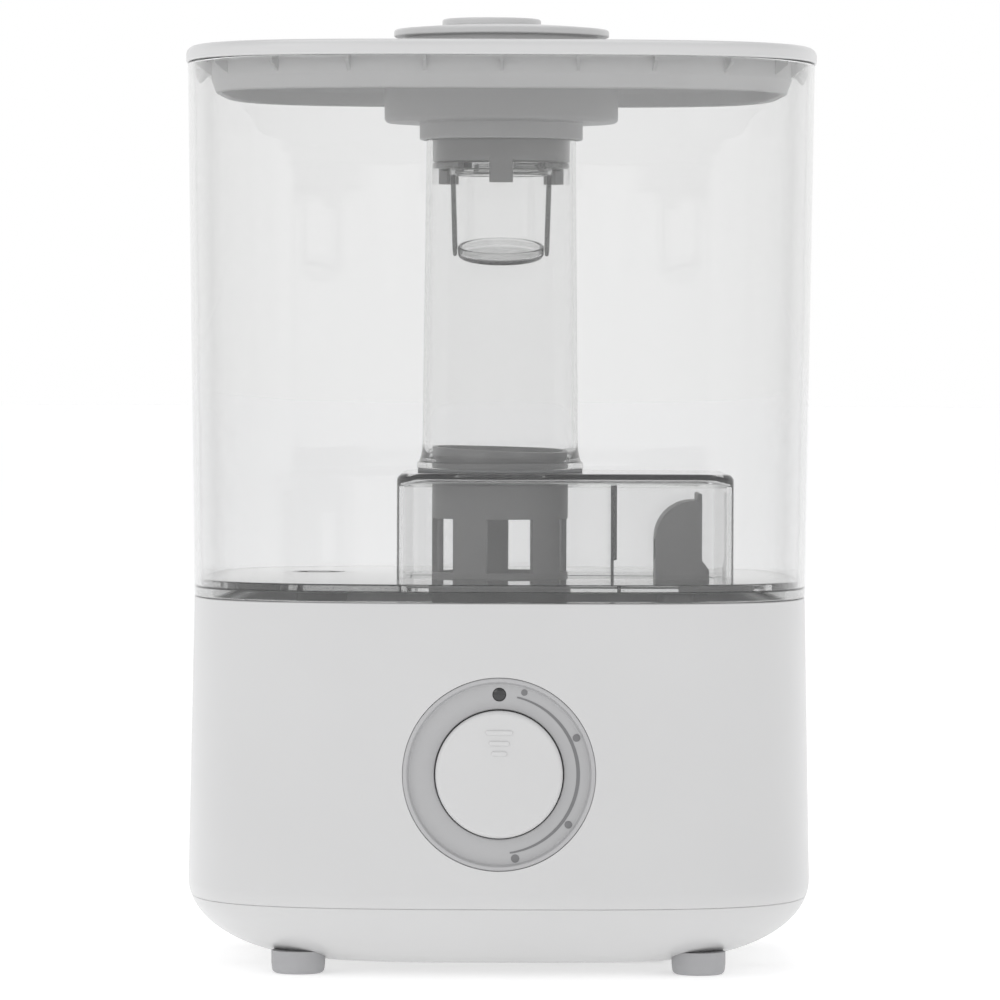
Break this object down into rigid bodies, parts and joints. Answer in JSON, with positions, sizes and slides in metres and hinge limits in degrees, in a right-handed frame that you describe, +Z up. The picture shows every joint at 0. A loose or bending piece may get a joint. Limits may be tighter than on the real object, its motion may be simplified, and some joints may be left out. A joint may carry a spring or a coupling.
{
  "type": "cool mist humidifier",
  "caption": "Top-fill cool mist humidifier: clear tank with a mist tube on a white base with a front dial, lift-off lid and turning mist nozzle.",
  "frame": {"origin": "on the table under the middle of the body, at the underside of the feet", "axes": "+Z up, front with the dial faces -Y, +X to the right of someone facing the dial"},
  "size_m": [0.202, 0.184, 0.3031],
  "materials": {
    "white_plastic": "satin white moulding",
    "inner_white": "plain white moulding",
    "clear_plastic": "clear, slightly tinted",
    "gray_plastic": "satin gray",
    "dark_plastic": "black moulding",
    "print": "printed marks",
    "gray_rubber": "soft gray",
    "black_rubber": "soft black",
    "steel": "plain",
    "brass": "plain",
    "alloy": "extruded",
    "board": "solder mask",
    "foam": "open foam",
    "lens": "smoked",
    "led_glass": "clear epoxy"
  },
  "bodies": {
    "base": {"base_shell": "white_plastic", "base_pan": "white_plastic", "water_basin": "inner_white", "air_cowl": "inner_white", "air_duct": "inner_white", "fan_case": "dark_plastic", "fan_screws": "steel", "filter_sponge": "foam", "transducer_disc": "brass", "transducer_seal": "black_rubber", "transducer_bracket": "steel", "transducer_screws": "steel", "driver_board": "board", "driver_parts": "dark_plastic", "heatsink": "alloy", "board_screws": "steel", "control_board": "board", "potentiometer": "steel", "pot_nut": "brass", "dial_ring": "gray_plastic", "dial_marks": "print", "led_lens": "lens", "status_led": "led_glass", "rubber_feet": "gray_rubber", "case_screws": "steel", "dc_jack": "dark_plastic", "jack_pin": "steel", "lever_pin": "steel", "reed_switch": "inner_white"},
    "fan_rotor": {"fan_rotor": "dark_plastic"},
    "knob": {"knob": "white_plastic", "dial_shaft": "steel"},
    "float_lever": {"float_arm": "white_plastic", "float_block": "inner_white", "float_magnet": "steel"},
    "mist_guide": {"mist_guide": "gray_plastic"},
    "tank": {"tank_wall": "clear_plastic", "tank_floor": "clear_plastic", "tube_gasket": "gray_rubber", "mist_tube": "clear_plastic", "valve_guide": "white_plastic", "valve_spring": "steel"},
    "valve": {"valve_plunger": "white_plastic", "valve_seal": "black_rubber"},
    "lid": {"lid_cover": "white_plastic", "lid_liner": "inner_white", "nozzle_well": "inner_white"},
    "splash_guard": {"splash_guard": "clear_plastic"},
    "nozzle": {"mist_nozzle": "white_plastic", "nozzle_cap": "white_plastic"}
  },
  "joints": [
    {"name": "tank_lift", "type": "slide", "parent": "base", "child": "tank", "axis": [0, 0, 1], "range_m": [0, 0.08]},
    {"name": "lid_lift", "type": "slide", "parent": "tank", "child": "lid", "axis": [0, 0, 1], "range_m": [0, 0.08]},
    {"name": "nozzle_turn", "type": "hinge", "parent": "lid", "child": "nozzle", "pos_m": [0, 0, 0.2972], "axis": [0, 0, 1], "continuous": true},
    {"name": "guard_twist", "type": "hinge", "parent": "lid", "child": "splash_guard", "pos_m": [0, 0, 0.2546], "axis": [0, 0, 1], "range_deg": [0, 20]},
    {"name": "guide_lift", "type": "slide", "parent": "base", "child": "mist_guide", "axis": [0, 0, 1], "range_m": [0, 0.03]},
    {"name": "knob_turn", "type": "hinge", "parent": "base", "child": "knob", "pos_m": [0, -0.08996, 0.0647], "axis": [0, 0.9998, -0.0199], "range_deg": [0, 170]},
    {"name": "fan_spin", "type": "hinge", "parent": "base", "child": "fan_rotor", "pos_m": [0.03, 0, 0.034], "axis": [0, 0, 1], "continuous": true},
    {"name": "float_tilt", "type": "hinge", "parent": "base", "child": "float_lever", "pos_m": [-0.06, 0.014, 0.102], "axis": [-1, 0, 0], "range_deg": [0, 12]},
    {"name": "valve_slide", "type": "slide", "parent": "tank", "child": "valve", "axis": [0, 0, 1], "range_m": [-0.003, 0], "stiffness_N_per_m": 5, "springref_m": -0.006, "deforming": ["valve_spring"]}
  ],
  "couplings": [
    {"joint": "valve_slide", "follows": "float_tilt", "m_per_rad": -0.014}
  ]
}
